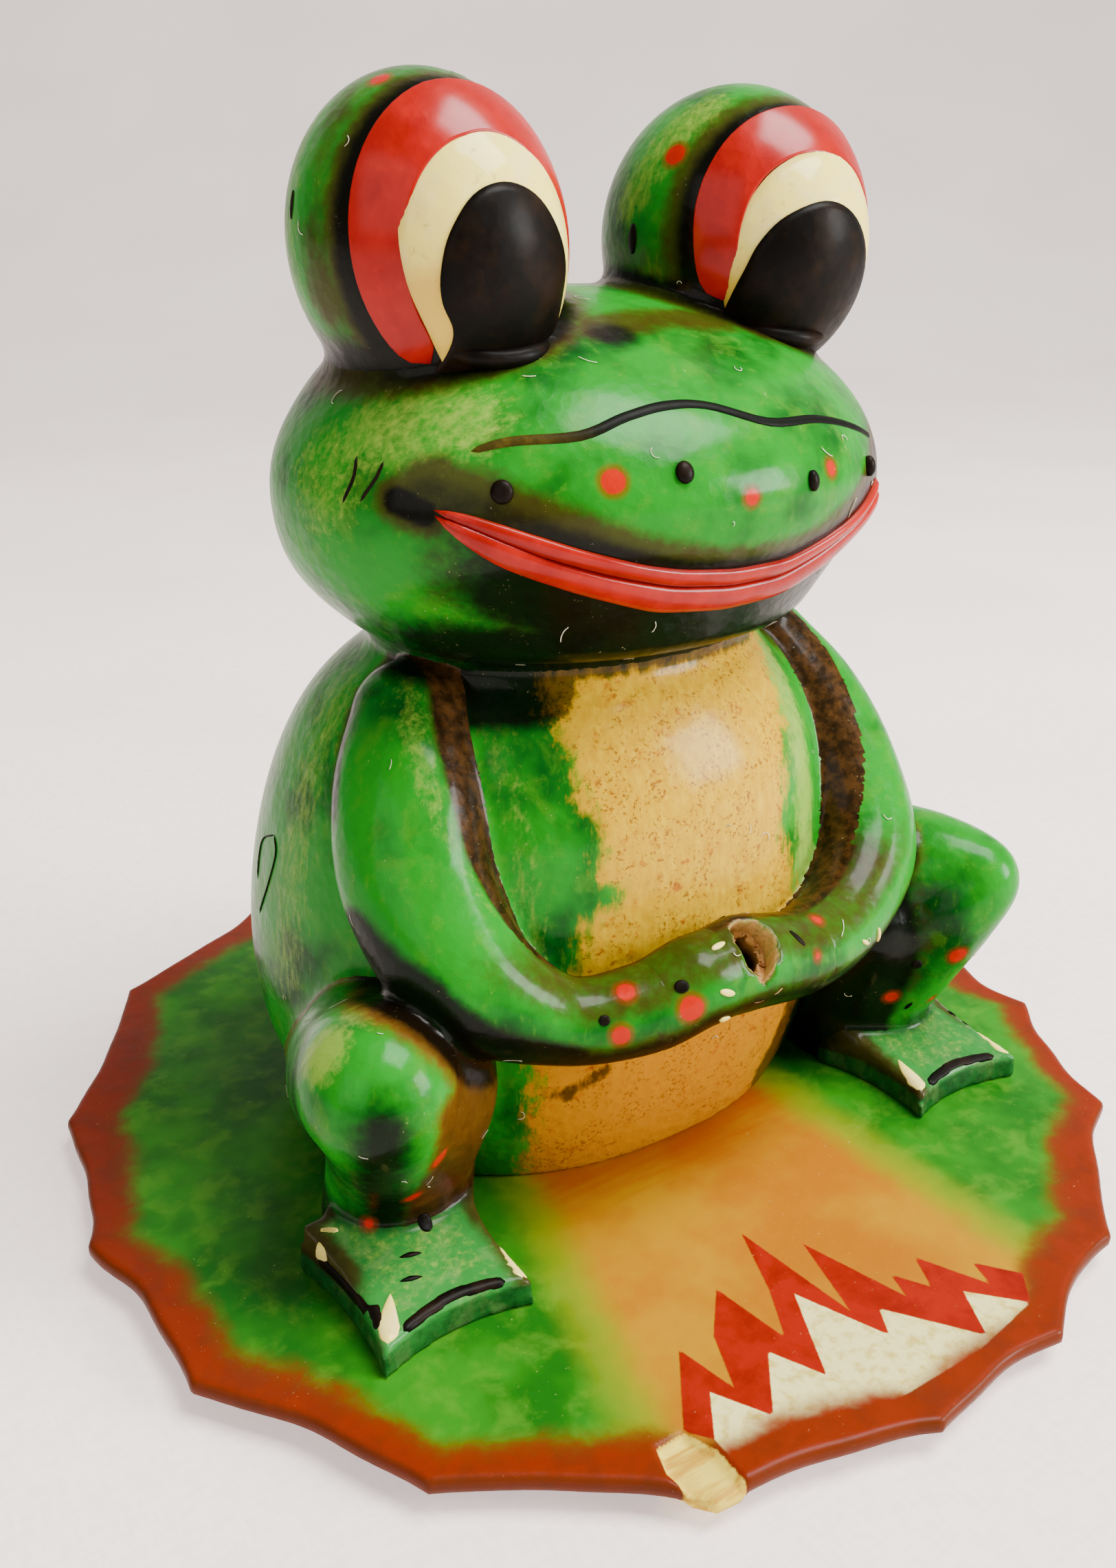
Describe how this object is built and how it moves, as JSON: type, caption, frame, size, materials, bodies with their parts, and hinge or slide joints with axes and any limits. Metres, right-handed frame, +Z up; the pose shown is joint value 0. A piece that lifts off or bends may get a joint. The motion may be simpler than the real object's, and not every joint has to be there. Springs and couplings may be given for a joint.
{
  "type": "papier-mache frog figurine on a lily pad",
  "caption": "Painted papier-mache frog seated on a scalloped lily pad, hands clasped round a broken socket; a shelf ornament that once held a prop.",
  "frame": {"origin": "centre of the lily pad's flat underside, where the figure rests on a shelf", "axes": "+Z up; the frog looks along -Y; its left side is +X"},
  "size_m": [0.1425, 0.1491, 0.1342],
  "materials": {
    "pad_paint": "painted and lacquered board, satin gloss",
    "body_paint": "painted papier-mache under glossy lacquer",
    "head_paint": "painted papier-mache under glossy lacquer",
    "eye_mound_paint": "painted papier-mache under glossy lacquer",
    "lid_red": "red enamel on a raised paper roll, glossy",
    "eye_cream": "cream enamel under yellowed lacquer, glossy",
    "pupil_black": "black enamel, glossy",
    "lip_red": "red enamel on a raised paper roll, glossy",
    "limb_paint": "painted papier-mache under glossy lacquer",
    "leg_paint": "painted papier-mache under glossy lacquer",
    "foot_paint": "painted papier-mache under glossy lacquer"
  },
  "bodies": {
    "root": {"lily_pad": "pad_paint", "body_shell": "body_paint", "head_shell": "head_paint", "right_eye_mound": "eye_mound_paint", "left_eye_mound": "eye_mound_paint", "right_eyelid": "lid_red", "left_eyelid": "lid_red", "right_eyeball": "eye_cream", "left_eyeball": "eye_cream", "right_pupil": "pupil_black", "left_pupil": "pupil_black", "upper_lip": "lip_red", "lower_lip": "lip_red", "right_arm": "limb_paint", "left_arm": "limb_paint", "right_hand": "limb_paint", "left_hand": "limb_paint", "right_leg": "leg_paint", "left_leg": "leg_paint", "right_foot": "foot_paint", "left_foot": "foot_paint"}
  },
  "joints": []
}
